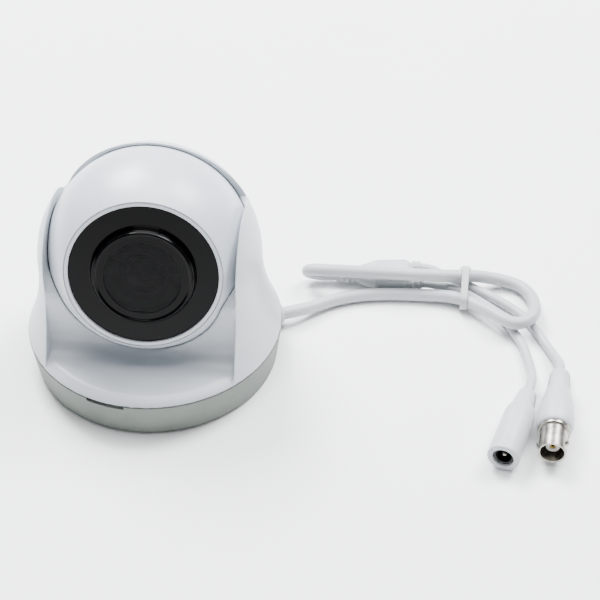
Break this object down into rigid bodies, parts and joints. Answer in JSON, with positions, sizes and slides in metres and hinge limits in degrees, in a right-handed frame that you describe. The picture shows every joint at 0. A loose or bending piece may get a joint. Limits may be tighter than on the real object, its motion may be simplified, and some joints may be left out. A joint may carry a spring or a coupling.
{
  "type": "eyeball dome camera with pigtail lead",
  "caption": "White eyeball dome security camera on a round base, with a lens module that pans, tilts and turns, and a pigtail lead that splits into a power socket and a video plug.",
  "frame": {"origin": "middle of the base's underside, the face that goes against the ceiling", "axes": "+Z away from the ceiling through the dome, -Y the way the slot faces, +X the camera's side that the lead leaves from"},
  "size_m": [0.198, 0.1018, 0.0837],
  "materials": {
    "base_plastic": "satin",
    "cover_plastic": "satin",
    "eyeball_plastic": "satin",
    "cord_sheath": "satin",
    "cord_moulding": "satin",
    "dark_plastic": "matte",
    "window_plastic": "gloss",
    "lens_coating": "gloss",
    "white_insulator": "satin",
    "nickel_plate": "satin",
    "gold_plate": "satin",
    "zinc_steel": "satin",
    "black_rubber": "matte",
    "board_laminate": "satin",
    "lamp_resin": "gloss",
    "nylon": "satin"
  },
  "bodies": {
    "base": {"mounting_base": "base_plastic", "pan_washer": "zinc_steel", "pan_screws": "zinc_steel", "cable_grommet": "cord_moulding", "cord_clamp": "nylon", "clamp_screws": "zinc_steel", "main_cable": "cord_sheath", "splitter": "cord_moulding", "power_lead": "cord_sheath", "video_lead": "cord_sheath", "dc_boot": "cord_moulding", "dc_socket": "dark_plastic", "dc_pin": "nickel_plate", "bnc_boot": "cord_moulding", "bnc_barrel": "nickel_plate", "bnc_insulator": "white_insulator", "bnc_contact": "gold_plate", "cable_tie": "nylon"},
    "housing": {"dome_cover": "cover_plastic", "seat_plate": "base_plastic", "seat_pad": "black_rubber", "seat_screws": "zinc_steel"},
    "eyeball": {"eyeball_front": "eyeball_plastic", "eyeball_rear": "eyeball_plastic", "eyeball_seal": "black_rubber", "eyeball_screws": "zinc_steel"},
    "lens_module": {"bezel_ring": "eyeball_plastic", "bezel_clip": "zinc_steel", "front_window": "window_plastic", "window_gasket": "black_rubber", "ir_board": "board_laminate", "ir_lamps": "lamp_resin", "light_sensor": "lamp_resin", "light_shield": "black_rubber", "lens_barrel": "dark_plastic", "lens_glass": "lens_coating", "lens_holder": "dark_plastic", "image_sensor": "dark_plastic", "main_board": "board_laminate", "board_spacers": "gold_plate", "board_screws": "zinc_steel", "signal_header": "white_insulator"}
  },
  "joints": [
    {"name": "pan", "type": "hinge", "parent": "base", "child": "housing", "pos_m": [0, 0, 0.0082], "axis": [0, 0, 1], "range_deg": [-175, 175]},
    {"name": "tilt", "type": "hinge", "parent": "housing", "child": "eyeball", "pos_m": [0, 0, 0.0481], "axis": [-0.9945, -0.1045, 0], "range_deg": [-15, 63]},
    {"name": "rotate", "type": "hinge", "parent": "eyeball", "child": "lens_module", "pos_m": [0, 0, 0.0481], "axis": [0.101, -0.9606, 0.2588], "range_deg": [-175, 175]}
  ]
}
